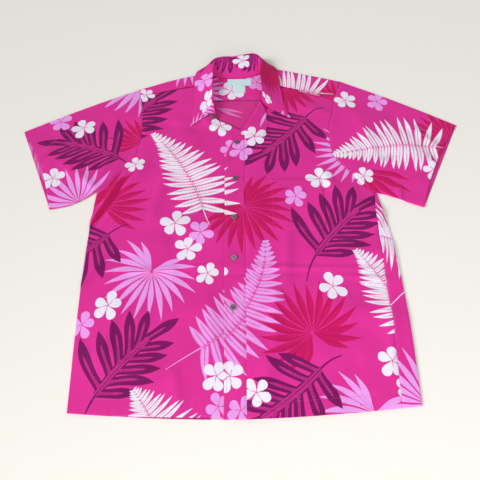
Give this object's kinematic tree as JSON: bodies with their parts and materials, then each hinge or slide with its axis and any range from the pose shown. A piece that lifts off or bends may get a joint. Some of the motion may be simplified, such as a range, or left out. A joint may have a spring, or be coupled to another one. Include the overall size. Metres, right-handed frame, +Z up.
{
  "type": "hawaiian shirt",
  "caption": "Short-sleeved camp-collar shirt in printed cotton, buttoned and laid flat on its back, front up.",
  "frame": {"origin": "on the surface that the shirt lies on, under the middle of its bounding box", "axes": "+X along the shirt's width from the wearer's right sleeve to the left one, +Y from the hem to the collar, +Z up from the surface, through the front"},
  "size_m": [1.034, 0.8656, 0.0294],
  "materials": {
    "cotton": "matte printed cotton poplin",
    "button_shell": "polished grey-brown shell",
    "label_satin": "pale woven satin"
  },
  "bodies": {
    "root": {"back": "cotton", "front_right": "cotton", "front_left": "cotton", "placket": "cotton", "yoke": "cotton", "yoke_inner": "cotton", "sleeve_right": "cotton", "sleeve_left": "cotton", "collar": "cotton", "lapel": "cotton", "pocket": "cotton", "button_1": "button_shell", "button_2": "button_shell", "button_3": "button_shell", "button_4": "button_shell", "button_5": "button_shell", "button_neck": "button_shell", "brand_label": "label_satin", "size_label": "label_satin"}
  },
  "joints": []
}
